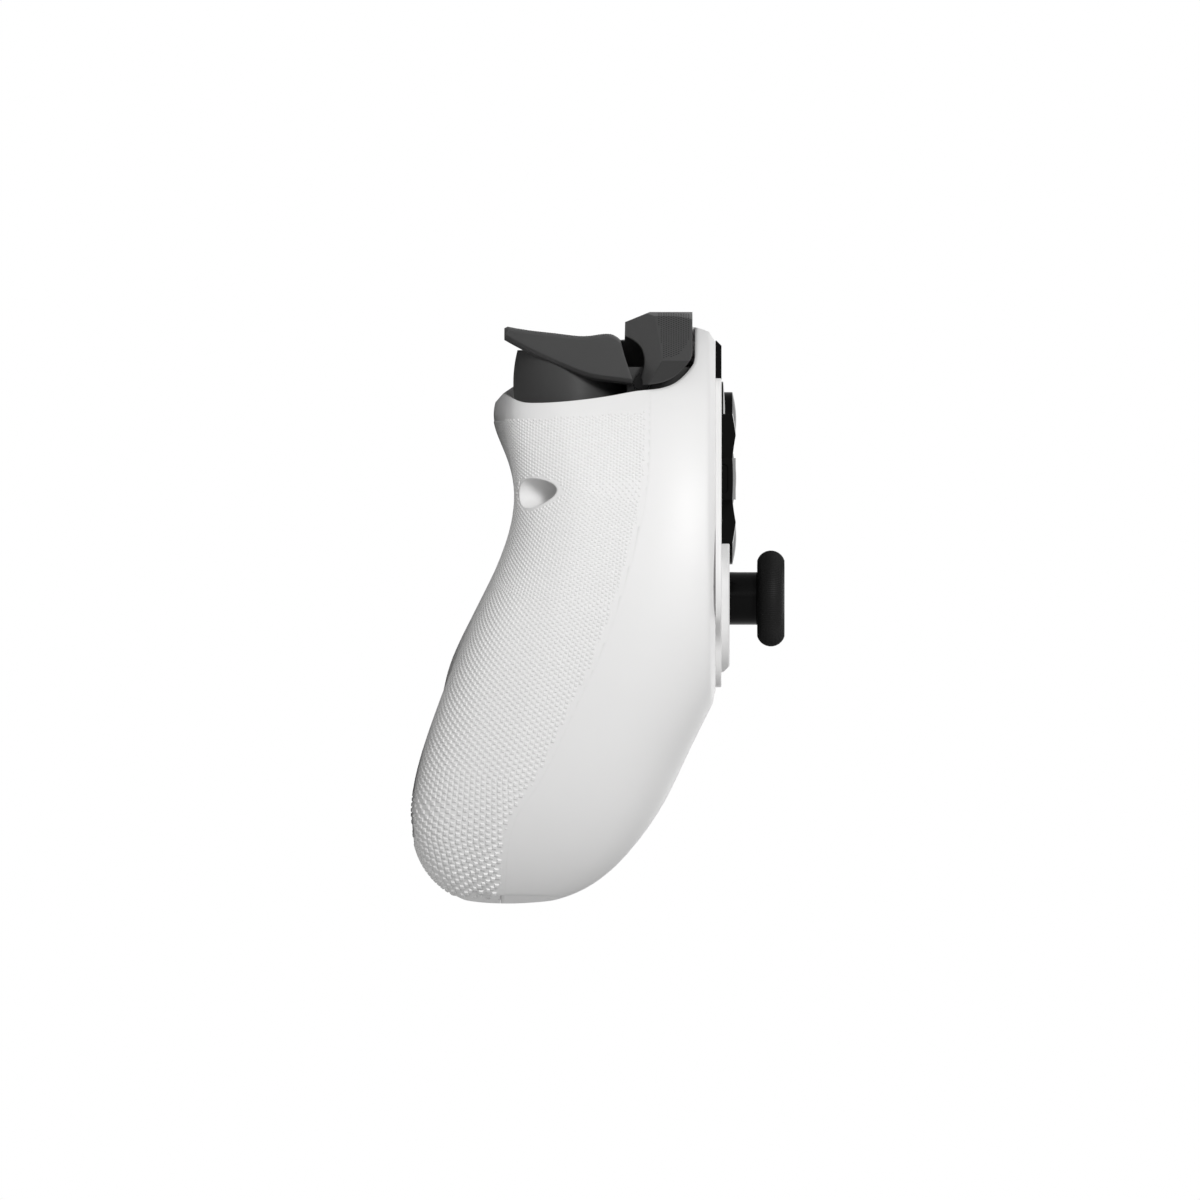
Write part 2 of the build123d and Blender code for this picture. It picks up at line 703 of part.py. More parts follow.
def dpad():
    """Cross with arms that rise to a ridge near the tips, with a dish between them."""
    key = cross(dpad_span, dpad_arm, flange_top - 0.2, dpad_ridge)
    deep = dpad_ridge - dpad_middle
    dish = (dpad_ridge_at**2 + deep**2) / (2 * deep)
    key -= Pos(dpad_x, dpad_y, dpad_middle + dish) * Sphere(dish)
    fall = dpad_ridge - dpad_tip
    crown_z = dpad_ridge - ((dpad_span / 2) ** 2 - dpad_ridge_at**2 + fall**2) / (2 * fall)
    crown = math.hypot(dpad_ridge_at, dpad_ridge - crown_z)
    key = key & (Pos(dpad_x, dpad_y, crown_z) * Sphere(crown))
    inset_wide, inset_top, inset_deep = dpad_inset
    inset_face = Pos(0, 0, inset_top - 3) * Rot(Y=90) * RectangleRounded(6, inset_wide, 0.8)
    for quarter in range(4):
        inset = Pos(dpad_span / 2 - inset_deep, 0, 0) * extrude(inset_face, 2)
        key -= Pos(dpad_x, dpad_y, 0) * Rot(Z=90 * quarter) * inset
    key += post(dpad_x, dpad_y, flange_top - flange_thick, flange_top, flange_radius)
    sink = dpad_foot_at * math.radians(dpad_rock) + dpad_foot_gap
    for x, y in dpad_feet():
        key += post(x, y, board_top + membrane_thick + dome_height + sink, flange_top, 1.6)
    key -= Pos(dpad_x, dpad_y, dpad_pivot_z) * Sphere(dpad_ball + play)
    return key


def dpad_pivot():
    pivot = Pos(dpad_x, dpad_y, dpad_pivot_z) * Sphere(dpad_ball)
    pivot += post(dpad_x, dpad_y, board_top + membrane_thick + 0.1, dpad_pivot_z, 1.1)
    return pivot


def domed_key(x, y, radius, edge, dome, flange, stem, stem_bottom):
    """Round key with a domed top, a flange under the face and a stem to its switch."""
    key = post(x, y, -wall - fit - 1, edge + dome, radius)
    ball = (radius**2 + dome**2) / (2 * dome)
    key = key & (Pos(x, y, edge + dome - ball) * Sphere(ball))
    key += post(x, y, -wall - fit - 1, -wall - fit, radius + flange)
    key += post(x, y, stem_bottom, -wall - fit, stem)
    return key


def face_buttons():
    stem_bottom = board_top + membrane_thick + dome_height + button_travel + 0.1
    sizes = (button_radius, button_edge, button_dome, button_flange, button_stem, stem_bottom)
    return {name: domed_key(x, y, *sizes) for name, (x, y) in face_places.items()}


def small_buttons():
    stem_bottom = board_top + switch_height + panel_travel + 0.1
    edge = plate_height + panel_proud - 0.3
    return {
        name: domed_key(x, y, radius, edge, 0.3, 0.8, 1.3, stem_bottom)
        for name, (x, y, radius) in panel_buttons.items()
    }


def light_guide():
    guide = light_bar(-wall, plate_height, 0)
    return guide + post(light_length / 2, light_y, board_top + 0.05, -wall, 0.7)


# Triggers and bumpers


def about_pivot(radius, degrees):
    """Point (y, z) at a radius from the trigger's pivot, at an angle up from straight back."""
    a = math.radians(degrees)
    return (trigger_y + radius * math.sin(a), trigger_z - radius * math.cos(a))


def skirt_angle():
    """Angle of the skirt's lowest point."""
    return math.degrees(math.asin((skirt_low - trigger_y) / trigger_radius))


def blade_wire(inset, back):
    """Outline of the blade at a distance from its outer facet, moved inwards by the inset."""
    slant_back, slant_up = (math.tan(math.radians(a)) for a in facet_slant)

    def at(y, z):
        x = trigger_outer - back - (y - trigger_y) * slant_up + (z - trigger_z) * slant_back
        return Vector(x, y, z)

    top = [at(y - inset, z) for y, z in blade_top]
    low = [at(y + 1.6 * inset, z) for y, z in blade_low]
    tip = at(blade_tip[0] - inset, blade_tip[1] + inset / 2)
    edges = [Edge.make_spline(top), Edge.make_line(top[-1], tip), Edge.make_line(tip, low[0])]
    edges += [Edge.make_spline(low), Edge.make_line(low[-1], top[0])]
    return Wire(edges)


def blade():
    """Flared finger piece with a slanted facet on its outer end."""
    inner_end = blade_wire(0, trigger_outer - trigger_inner + 12)
    piece = Solid.make_loft([inner_end, blade_wire(*facet_edge[0])], True)
    piece += Solid.make_loft([blade_wire(*edge) for edge in facet_edge], True)
    back, corner = blade_tip[1] - 1, blade_corner
    plan = [(trigger_inner, 0), (trigger_outer + 9, 0), (trigger_outer + 9, back)]
    plan += [(trigger_inner + corner, back), (trigger_inner, back + corner)]
    return piece & plan_prism(plan)


def plan_prism(points):
    """Tall solid over a plan of (x, z) points."""
    plan = make_face(Polyline(*[(x, 0, z) for x, z in points], close=True))
    return extrude(plan, far, dir=(0, 1, 0))


def flank_prism(inset):
    """Tall solid over the plan of the skirt, which is round on its outer side."""
    wide, deep = flank_wide - inset, flank_deep - inset
    inner = slab(skirt_inner + inset, flank_x, 0, far, flank_z - deep, flank_z + deep)
    round_side = Pos(flank_x, 0, flank_z) * Rot(X=90) * Ellipse(wide, deep)
    return inner + extrude(round_side, far, dir=(0, 1, 0))


def skirt():
    """Hollow skirt under the blade, round about the pivot at its back."""
    high, low = skirt_high_angle, skirt_angle()
    outer = [about_pivot(trigger_radius, a) for a in (high, (high + low) / 2, low)]
    front = (trigger_y - hub_radius + 0.6, trigger_z - 0.5)
    edge = Polyline(outer[-1], front, *skirt_top, outer[0])
    solid = extrude(Plane.YZ * make_face([ThreePointArc(*outer), edge]), far) & flank_prism(0)
    inner_radius = trigger_radius - trigger_wall
    inner = [about_pivot(inner_radius, a) for a in (high - 6, (high + low) / 2, low)]
    under = Polyline(inner[-1], (skirt_low - 9, -28), *skirt_roof, inner[0])
    hollow = extrude(Plane.YZ * make_face([ThreePointArc(*inner), under]), far)
    return solid - (hollow & flank_prism(trigger_wall))


def trigger():
    whole = skirt() + blade()
    whole += bar_x(trigger_y, trigger_z, skirt_inner, cheek_at[1] - skirt_gap, hub_radius)
    whole -= bar_x(trigger_y, trigger_z, spring_from, spring_to, hub_radius + 1)
    for x in cheek_at:
        cheek = (x - skirt_gap, x + bracket_wall + skirt_gap)
        whole -= bar_x(trigger_y, trigger_z, *cheek, cheek_room)
    leg = spring_leg()
    leg_room = slab(leg.X - 0.7, leg.X + 0.7, leg.Y - 0.7, leg.Y + 0.7, -18.3, trigger_z)
    whole -= leg_room
    return whole - bar_x(trigger_y, trigger_z, 0, cheek_at[1] + 3, shaft_radius + play)


def trigger_bracket():
    """Two cheeks on a bar under the face, which carry the trigger's shaft."""
    top = -wall - 0.05
    cheek = slab(0, bracket_wall, bracket_low, bracket_high, -15.8, top)
    low, high = cheek_at
    bracket = Pos(low, 0, 0) * cheek + Pos(high, 0, 0) * cheek
    bracket += slab(low, high + bracket_wall, bracket_bar, bracket_high, -8, top)
    bracket = bracket & pad_form(wall + fit)
    return bracket - bar_x(trigger_y, trigger_z, 0, far, shaft_radius + 0.02)


def trigger_shaft():
    return bar_x(trigger_y, trigger_z, cheek_at[0] - 0.4, cheek_at[1] + bracket_wall + 0.4, shaft_radius)


def spring_leg():
    """Place of the torsion spring's leg."""
    return Vector(spring_to - 0.8, trigger_y + shaft_radius + 0.7, trigger_z)


def trigger_spring():
    """Torsion spring round the shaft, as a stack of rings with one leg under the trigger."""
    low, high = spring_from + 0.4, spring_to - 0.4
    spring = bar_x(trigger_y, trigger_z, low, high, shaft_radius + 0.7 + spring_wire)
    spring -= bar_x(trigger_y, trigger_z, low - 1, high + 1, shaft_radius + 0.4)
    leg = spring_leg()
    return spring + post(leg.X, leg.Y, -18.1, leg.Z, spring_wire)


def beyond(a, b, c):
    """Everything on the outer side of the plane through three points."""
    return Plane(a, z_dir=(b - a).cross(c - a)) * Pos(0, 0, far) * Box(4 * far, 4 * far, 2 * far)


def bumper_cuts():
    """What the bumper's flat facets and its bevel cut off."""
    corners = [Vector(x, y, 0) for x, y in bumper_facets]
    down = Vector(0, 0, -1)
    cuts = [beyond(a, b, a + down) for a, b in zip(corners, corners[1:])]
    high, low = (corner + Vector(0, 0, z) for corner, z in zip(corners, bevel_edge))
    inwards = down.cross(corners[1] - corners[0]).normalized()
    cuts.append(beyond(high, low, high + inwards * bevel_depth + down * bevel_width))
    return cuts


def bumper():
    """Bumper with flat facets on its outer end, and an arm that turns on a pin."""
    edges = rim_round_bumper(bumper_rise, bumper_gap)
    top = edges[1] @ 1
    corner = edges[0] @ 0
    edges.append(Polyline(top, (bumper_top, top.Y), *bumper_back, (corner.X, corner.Y)))
    side = extrude(Plane.YZ * make_face(edges), far)
    start = bay_inner + 0.4
    cover = (pad_form(-bumper_proud) - pad_form(bumper_depth)) & side & slab(start, far, 0, far, -60, 0)
    arm = side & slab(start, bumper_arm, 0, bumper_top, -60, -6.2)
    arm += side_prism(bumper_arm_back, start, bumper_arm)
    lug = post(bumper_pin_x, bumper_pin_y, -13, -6.2, bumper_lug)
    whole = cover - bumper_cuts() + arm + lug
    return whole - post(bumper_pin_x, bumper_pin_y, -far, far, bumper_pin_radius + play)


def bumper_pin():
    return post(bumper_pin_x, bumper_pin_y, -14, -wall - 0.3, bumper_pin_radius)


def bumper_switches():
    switch = slab(49, 53, bracket_high + 0.05, bracket_high + 2.4, -8, -5)
    return Compound(both_sides(switch))


# Motors


def motor():
    body = bar_y(motor_x, motor_z, motor_back, motor_front, motor_radius)
    return body + bar_y(motor_x, motor_z, motor_back - weight_thick - 1.5, motor_back, motor_shaft)


def motor_weight():
    back = motor_back - 0.8 - weight_thick
    weight = bar_y(motor_x, motor_z, back, back + weight_thick, weight_radius)
    weight &= slab(motor_x - 20, motor_x + 20, -far, far, -far, motor_z + 0.5)
    weight += bar_y(motor_x, motor_z, back, back + weight_thick, 2.4)
    return weight - bar_y(motor_x, motor_z, -far, far, motor_shaft + 0.03)


def build():
    """All nodes by name, in the pad's own frame."""
    form = pad_form() - crown_cut(0)
    room = cavity()
    nodes = {"front_shell": front_shell(form, room), "rear_shell": rear_shell(form, room)}
    nodes["left_face_plate"], nodes["right_face_plate"] = face_plate_pair()
    nodes["center_panel"] = center_panel()
    nodes["stick_bridge"] = stick_bridge()
    nodes["shell_screws"] = shell_screws()
    nodes["main_board"] = main_board()
    nodes["board_screws"] = board_screws()
    nodes["battery"] = battery()
    nodes["usb_socket"] = usb_socket()
    nodes["audio_jack"] = audio_jack()
    nodes["face_membrane"], nodes["dpad_membrane"] = membranes()
    nodes["dpad"] = dpad()
    nodes["dpad_pivot"] = dpad_pivot()
    nodes.update(face_buttons())
    nodes.update(small_buttons())
    nodes["status_light_guide"] = light_guide()
    nodes["bumper_switches"] = bumper_switches()
    names = ["stick_module", "stick_yoke", "stick_lever", "stick_post", "stick_cap"]
    pairs = dict(zip(names, stick_parts()))
    pairs["stick_ring"] = stick_ring()
    pairs["trigger"] = trigger()
    pairs["trigger_bracket"] = trigger_bracket()
    pairs["trigger_shaft"] = trigger_shaft()
    pairs["trigger_spring"] = trigger_spring()
    pairs["bumper"] = bumper()
    pairs["bumper_pin"] = bumper_pin()
    pairs["motor"] = motor()
    pairs["motor_weight"] = motor_weight()
    for name, shape in pairs.items():
        nodes[f"{name}_right"] = shape
        nodes[f"{name}_left"] = other_side(shape)
    return nodes


def stand_on_floor(nodes):
    """Placement that leans the pad back and puts the middle of its footprint at the origin."""
    leaned = Rot(X=-lean)
    box = Compound([leaned * shape for shape in nodes.values()]).bounding_box(optimal=True)
    middle_y = (box.min.Y + box.max.Y) / 2
    return Pos(0, -middle_y, -box.min.Z) * leaned


nodes = build()
stand = stand_on_floor(nodes)
os.makedirs("parts", exist_ok=True)
for name, shape in nodes.items():
    export_step(stand * shape, f"parts/{name}.step")
print(len(nodes), "nodes,", stand)
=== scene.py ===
import math

import bmesh
import bpy
from mathutils import Matrix, Vector
from mathutils.bvhtree import BVHTree


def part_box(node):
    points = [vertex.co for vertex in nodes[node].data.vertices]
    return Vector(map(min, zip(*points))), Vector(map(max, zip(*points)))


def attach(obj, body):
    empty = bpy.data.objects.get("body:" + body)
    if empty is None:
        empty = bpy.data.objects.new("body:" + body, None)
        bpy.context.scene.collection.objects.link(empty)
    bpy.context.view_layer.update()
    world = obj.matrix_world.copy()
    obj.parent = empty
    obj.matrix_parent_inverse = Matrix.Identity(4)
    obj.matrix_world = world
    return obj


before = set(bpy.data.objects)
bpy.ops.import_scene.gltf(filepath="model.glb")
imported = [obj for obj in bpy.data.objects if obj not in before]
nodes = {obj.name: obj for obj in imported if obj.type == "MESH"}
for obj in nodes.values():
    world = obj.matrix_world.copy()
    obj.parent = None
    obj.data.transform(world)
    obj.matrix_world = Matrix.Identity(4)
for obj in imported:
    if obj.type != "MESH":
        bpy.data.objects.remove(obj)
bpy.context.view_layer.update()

# Lengths are in millimetres of the pad's own frame, in which the flat face is the plane Z = 0, the
# triggers are towards +Y and the player's right is +X. The pad lies leaned back by LEAN.
MM = 0.001
LEAN = math.radians(10.7)
# Middle of the triggers' shafts, (y, z)
TRIGGER_PIVOT = (38.4, -13.1)
# Sign of x and name of each side
SIDES = ((1, "right"), (-1, "left"))


def turned(y, z):
    """Direction or place (y, z) of the pad's frame, turned into the row frame."""
    return (y * math.cos(LEAN) + z * math.sin(LEAN), z * math.cos(LEAN) - y * math.sin(LEAN))


def find_shift():
    """How far the turned pad is moved to stand on the floor, found from a trigger's shaft."""
    low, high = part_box("trigger_shaft_right")
    y, z = turned(*TRIGGER_PIVOT)
    return ((low.y + high.y) / 2 / MM - y, (low.z + high.z) / 2 / MM - z)


SHIFT = find_shift()


def place(x, y, z):
    """Point of the pad's frame as a point of the row frame, in metres."""
    y, z = turned(y, z)
    return Vector((x, y + SHIFT[0], z + SHIFT[1])) * MM


def heading(x, y, z):
    """Direction of the pad's frame as a direction of the row frame."""
    return Vector((x, *turned(y, z)))


def pad_point(point):
    """Point of the row frame in metres, as (x, y, z) of the pad's frame."""
    y, z = point.y / MM - SHIFT[0], point.z / MM - SHIFT[1]
    return (
        point.x / MM,
        y * math.cos(LEAN) - z * math.sin(LEAN),
        z * math.cos(LEAN) + y * math.sin(LEAN),
    )


def add_object(name, data):
    made = bpy.data.objects.new(name, data)
    bpy.context.scene.collection.objects.link(made)
    return made


# Trees of nodes, for materials and for pieces

# Sockets of a Mix node that mixes colours, by number, because some of them share their names
MIX_FACTOR, MIX_FIRST, MIX_SECOND, MIX_RESULT = 0, 6, 7, 2


class Value:
    """A socket of a node tree that can be used in expressions: each operator adds a Math node."""

    def __init__(self, tree, socket):
        self.tree = tree
        self.socket = socket

    def __add__(self, other):
        return self.tree.maths("ADD", self, other)

    def __mul__(self, other):
        return self.tree.maths("MULTIPLY", self, other)

    def __rsub__(self, other):
        return self.tree.maths("SUBTRACT", other, self)

    __radd__ = __add__
    __rmul__ = __mul__

    def output(self, name):
        """Another output of the same node."""
        return Value(self.tree, self.socket.node.outputs[name])


class Tree:
    """Node tree with one way to add a node: its type, its settings, then its sockets."""

    def __init__(self, owner):
        self.nodes = owner.nodes
        self.links = owner.links

    def node(self, kind, settings=None, sockets=None, out=0):
        made = self.nodes.new(kind)
        for key, value in (settings or {}).items():
            setattr(made, key, value)
        for key, value in (sockets or {}).items():
            socket = made.inputs[key]
            if isinstance(value, Value):
                self.links.new(value.socket, socket)
            else:
                socket.default_value = value
        return Value(self, made.outputs[out]) if len(made.outputs) else made

    def maths(self, operation, *values):
        sockets = dict(enumerate(values))
        return self.node("ShaderNodeMath", {"operation": operation}, sockets)

    def vector(self, **axes):
        return self.node("ShaderNodeCombineXYZ", sockets=axes)

    def mix(self, factor, first, second):
        """Colour between two colours."""
        sockets = {MIX_FACTOR: factor, MIX_FIRST: first, MIX_SECOND: second}
        return self.node("ShaderNodeMix", {"data_type": "RGBA"}, sockets, MIX_RESULT)


# Materials

# Patches of colour to a metre, and their share in what changes the roughness
BROAD_SCALE, BROAD_SHARE = 38.0, 0.6
EDGE_SAMPLES = 6


def grey(level, warm=0.0):
    """Grey of a level from 0 to 1, with more red and less blue by the share warm."""
    return (level * (1 + warm), level, level * (1 - warm), 1)


def new_material(name):
    material = bpy.data.materials.new(name)
    material.use_nodes = True
    material.node_tree.nodes.clear()
    return material, Tree(material.node_tree)


def surface(name, low, high, rough, bump, grain_size, edge=0.0, **fixed):
    """Moulded or metal surface: a colour that varies a little between two, and a fine bump.

    rough is the least and the most roughness, bump the height of the grain in millimetres and
    grain_size its size in millimetres. Sharp edges look rounded to the radius edge, in millimetres.
    The rest are fixed sockets of the shader.
    """
    material, tree = new_material(name)
    place_on = tree.node("ShaderNodeTexCoord", out="Object")
    broad = tree.node(
        "ShaderNodeTexNoise",
        sockets={"Vector": place_on, "Scale": BROAD_SCALE, "Detail": 3.0, "Roughness": 0.55},
    )
    fine = tree.node(
        "ShaderNodeTexNoise",
        sockets={"Vector": place_on, "Scale": 1 / (grain_size * MM), "Detail": 2.0},
    )
    bumped = {"Strength": 1.0, "Distance": bump * MM, "Height": fine}
    if edge:
        radius = {"Radius": edge * MM}
        bumped["Normal"] = tree.node("ShaderNodeBevel", {"samples": EDGE_SAMPLES}, radius)
    change = BROAD_SHARE * broad + (1 - BROAD_SHARE) * fine
    shader = tree.node(
        "ShaderNodeBsdfPrincipled",
        sockets={
            "Base Color": tree.mix(broad, low, high),
            "Roughness": rough[0] + (rough[1] - rough[0]) * change,
            "Normal": tree.node("ShaderNodeBump", sockets=bumped),
            **{key.replace("_", " "): value for key, value in fixed.items()},
        },
    )
    tree.node("ShaderNodeOutputMaterial", sockets={"Surface": shader})
    return material


SHELL_WHITE = (grey(0.79, 0.004), grey(0.82, 0.004))
white_shell = surface("white_shell", *SHELL_WHITE, (0.4, 0.5), 0.006, 0.35, 1.2)
white_grip = surface("white_grip", *SHELL_WHITE, (0.46, 0.58), 0.008, 0.3, 0.35)
white_stud = surface("white_stud", *SHELL_WHITE, (0.46, 0.58), 0.004, 0.3)
white_plate = surface("white_plate", *SHELL_WHITE, (0.34, 0.44), 0.004, 0.3, 0.2)
PIANO_BLACK = (grey(0.003), grey(0.005))
black_gloss = surface(
    "black_gloss", *PIANO_BLACK, (0.1, 0.16), 0.0006, 0.5, 0.3, Specular_IOR_Level=0.05
)
KEY_LOOK = ((0.36, 0.46), 0.005, 0.22, 0.35)
DULL = {"Specular_IOR_Level": 0.2}
black_key = surface("black_key", grey(0.032), grey(0.039), *KEY_LOOK, **DULL)
# Painted sheen: the triggers are the keys' black plastic, made a lighter grey to stand in for the
# glossy highlight along their skirts.
trigger_painted_sheen = surface("trigger_painted_sheen", grey(0.06), grey(0.07), *KEY_LOOK, **DULL)
# Painted shade: the dots are nearly black, darker than the bumpers and triggers under them, to
# stand in for the shade that makes the dots look dark.
dot_painted_shade = surface(
    "dot_painted_shade", grey(0.004), grey(0.006), (0.55, 0.65), 0.002, 0.1, Specular_IOR_Level=0.1
)
black_rubber = surface(
    "black_rubber", grey(0.004), grey(0.007), (0.5, 0.62), 0.008, 0.2, Specular_IOR_Level=0.16
)
black_inside = surface("black_inside", grey(0.02), grey(0.028), (0.5, 0.65), 0.006, 0.3, 0.2)
membrane_rubber = surface("membrane_rubber", grey(0.2), grey(0.25), (0.6, 0.75), 0.008, 0.3)
BOARD_TONES = ((0.006, 0.05, 0.022, 1), (0.008, 0.065, 0.03, 1))
board_green = surface("board_green", *BOARD_TONES, (0.3, 0.42), 0.004, 0.6)
battery_wrap = surface("battery_wrap", grey(0.11), grey(0.14), (0.35, 0.5), 0.01, 1.5)
light_diffuser = surface("light_diffuser", grey(0.6), grey(0.66), (0.3, 0.4), 0.002, 0.4)
METAL_GRAIN = (0.002, 0.15, 0.1)
METAL = {"Metallic": 1.0}
steel = surface("steel", grey(0.5), grey(0.58), (0.22, 0.36), *METAL_GRAIN, **METAL)
dark_steel = surface("dark_steel", grey(0.16), grey(0.21), (0.3, 0.42), *METAL_GRAIN, **METAL)
black_steel = surface("black_steel", grey(0.02), grey(0.03), (0.3, 0.4), *METAL_GRAIN, **METAL)
BRASS_TONES = ((0.55, 0.4, 0.17, 1), (0.62, 0.46, 0.2, 1))
brass = surface("brass", *BRASS_TONES, (0.25, 0.4), *METAL_GRAIN, **METAL)


def both(*names):
    """Names of the nodes that each side has."""
    return [f"{name}_{end}" for name in names for _, end in SIDES]


BUTTONS = ["button_top", "button_bottom", "button_left", "button_right", "home_button"]
finishes = {
    white_shell: ["front_shell"],
    white_grip: ["rear_shell"],
    white_plate: ["left_face_plate", "right_face_plate", "stick_bridge"],
    black_gloss: ["center_panel", "dpad", *BUTTONS, *both("stick_post", "stick_ring")],
    black_rubber: both("stick_cap"),
    # Triggers in the lighter black whose colour is painted sheen
    trigger_painted_sheen: both("trigger"),
    black_key: ["view_button", "menu_button", "share_button", *both("bumper")],
    light_diffuser: ["status_light_guide"],
    black_inside: [
        "bumper_switches",
        "dpad_pivot",
        "audio_jack",
        *both("stick_module", "stick_yoke", "stick_lever", "trigger_bracket"),
    ],
    membrane_rubber: ["face_membrane", "dpad_membrane"],
    board_green: ["main_board"],
    battery_wrap: ["battery"],
    steel: ["usb_socket", "board_screws", *both("trigger_spring", "motor")],
    dark_steel: ["shell_screws"],
    black_steel: both("trigger_shaft", "bumper_pin"),
    brass: both("motor_weight"),
}
for finish, names in finishes.items():
    for name in names:
        slots = nodes[name].data.materials
        slots.clear()
        slots.append(finish)


# Pieces made by Geometry Nodes


def start_group(name, inputs):
    """Geometry Nodes tree with inputs, given as names and kinds, and the values they carry."""
    group = bpy.data.node_groups.new(name, "GeometryNodeTree")
    face = group.interface
    for label, kind in inputs.items():
        face.new_socket(label, in_out="INPUT", socket_type="NodeSocket" + kind)
    face.new_socket("Piece", in_out="OUTPUT", socket_type="NodeSocketGeometry")
    tree = Tree(group)
    given = tree.node("NodeGroupInput")
    return group, tree, {label: given.output(label) for label in inputs}


def end_group(tree, copies, finish):
    """Makes the tree's copies real, gives them their finish and sends them out."""
    real = tree.node("GeometryNodeRealizeInstances", sockets={"Geometry": copies})
    sockets = {"Geometry": real, "Material": finish}
    finished = tree.node("GeometryNodeSetMaterial", sockets=sockets)
    tree.node("NodeGroupOutput", sockets={"Piece": finished})


def run_group(name, mesh, group, inputs, body, at=None):
    """Piece made by running a group on a mesh, as a plain mesh that rides on a body.

    The matrix at takes it to its place, where it isn't made there.
    """
    source = add_object(name + "_points", mesh)
    modifier = source.modifiers.new("group", "NODES")
    modifier.node_group = group
    for item in group.interface.items_tree:
        if item.in_out == "INPUT" and item.name in inputs:
            modifier[item.identifier] = inputs[item.name]
    bpy.context.view_layer.update()
    evaluated = source.evaluated_get(bpy.context.evaluated_depsgraph_get())
    result = bpy.data.meshes.new_from_object(evaluated)
    if at:
        result.transform(at)
    piece = add_object(name, result)
    bpy.data.objects.remove(source)
    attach(piece, body)
    return piece


# Studs: small frustums on points of a surface

STUD_INPUTS = {
    "Points": "Geometry",
    "Width": "Float",
    "Top share": "Float",
    "Height": "Float",
    "Sink": "Float",
    "Sides": "Int",
    "Finish": "Material",
}


def make_stud_group():
    """Group that puts a frustum on each point, with its axis along the point's normal.

    A point's attributes are up, the normal, along, a direction in the surface, and size.
    """
    group, tree, given = start_group("studs", STUD_INPUTS)
    foot = 0.5 * given["Width"]
    frustum = tree.node(
        "GeometryNodeMeshCone",
        {"fill_type": "NGON"},
        {
            "Vertices": given["Sides"],
            "Radius Top": foot * given["Top share"],
            "Radius Bottom": foot,
            "Depth": given["Height"] + given["Sink"],
        },
    )
    square = tree.node(
        "GeometryNodeTransform",
        sockets={
            "Geometry": frustum,
            "Translation": tree.vector(Z=0.0 - given["Sink"]),
            "Rotation": (0, 0, math.radians(45)),
        },
    )
    up, along = (
        tree.node("GeometryNodeInputNamedAttribute", {"data_type": "FLOAT_VECTOR"}, {"Name": name})
        for name in ("up", "along")
    )
    turn = tree.node(
        "FunctionNodeAxesToRotation",
        {"primary_axis": "Z", "secondary_axis": "Y"},
        {"Primary Axis": up, "Secondary Axis": along},
    )
    size = tree.node("GeometryNodeInputNamedAttribute", {"data_type": "FLOAT"}, {"Name": "size"})
    copies = tree.node(
        "GeometryNodeInstanceOnPoints",
        sockets={
            "Points": given["Points"],
            "Instance": square,
            "Rotation": turn,
            "Scale": tree.vector(X=size, Y=size, Z=size),
        },
    )
    end_group(tree, copies, given["Finish"])
    return group


def point_mesh(name, points):
    """Mesh of loose points with the attributes that the group of studs reads."""
    mesh = bpy.data.meshes.new(name)
    mesh.from_pydata([point[0] for point in points], [], [])
    for index, key in ((1, "up"), (2, "along")):
        layer = mesh.attributes.new(key, "FLOAT_VECTOR", "POINT")
        layer.data.foreach_set("vector", [c for point in points for c in point[index]])
    layer = mesh.attributes.new("size", "FLOAT", "POINT")
    layer.data.foreach_set("value", [point[3] for point in points])
    return mesh


def make_studs(name, points, stud, finish, body):
    """Studs on points, each given as a place, a normal, a direction and a size."""
    inputs = {**stud, "Finish": finish}
    return run_group(name, point_mesh(name, points), stud_group, inputs, body)


def surface_finder(name):
    """Search tree of a CAD node's mesh."""
    mesh = nodes[name].data
    return BVHTree.FromPolygons(
        [v.co for v in mesh.vertices], [tuple(p.vertices) for p in mesh.polygons]
    )


stud_group = make_stud_group()


# Grain of the rear shell. Its rows lie in planes across this line, (y, z), inside each grip.
GRIP_LINE = [(40, -25), (20, -24.5), (0, -27.5), (-20, -32), (-40, -36.5), (-50, -38), (-58, -39)]
# Place of that line across the pad, x by y
GRIP_MIDDLE = [(40, 46), (20, 47), (0, 52), (-20, 58.5), (-40, 61.5), (-50, 62.5), (-58, 63)]
# Line on the outer side of the grip, (y, z), from which the columns fan out
COLUMN_START = [(40, -27), (20, -28), (0, -33), (-15, -39), (-31, -45), (-43, -46), (-50, -44)]
COLUMN_START += [(-54, -41), (-56, -39)]
# Distance between studs of one column, by y, and between columns, as a share of it
GRAIN_PITCH = [(40, 0.64), (15, 0.68), (0, 0.78), (-20, 0.98), (-32, 1.1), (-44, 1.28), (-58, 1.4)]
COLUMN_SHARE = 0.87
# Stud for a pitch of 1 mm: width over corners, height over and depth under the surface, width of
# its top as a share of its foot's, and sides
GRAIN_STUD = {
    "Width": 1.2 * MM,
    "Height": 0.18 * MM,
    "Sink": 0.1 * MM,
    "Top share": 0.48,
    "Sides": 4,
}
# First and last row, by y, and the least square of the share that the step between rows keeps
# where the surface turns under
GRAIN_FROM, GRAIN_TO, LIE_LEAST = 34.5, -56, 0.12
# Edges of the grain: the highest y by z, and the lowest x by y
GRAIN_TOP = [(-60, 31.0), (-38.9, 31.6), (-12, 33.2)]
GRAIN_INNER = [(40, 27), (20, 25), (0, 26), (-20, 34), (-60, 34)]
# Nearest that a stud's middle comes to the parting, and where a stud has its full size, as shares
# of the pitch
PARTING_LEAST, PARTING_FULL = 0.12, 0.45
# Screw wells, (x, y): radius in which a row has no points, radius of the bare rim, and the widest
# gap in a row that still has studs
WELLS = [(72, 18.7), (64, -40.8)]
WELL_REACH, WELL_MARGIN, GAP_MOST = 2.8, 3.1, 3
# Points of a row that lie closer than this are taken to be this far apart
GAP_LEAST = 1e-6

# Rays of a row: the first angle from straight outwards and the sweep, in degrees, and the steps
ROW_START, ROW_SWEEP, ROW_STEPS = -60, 266, 340
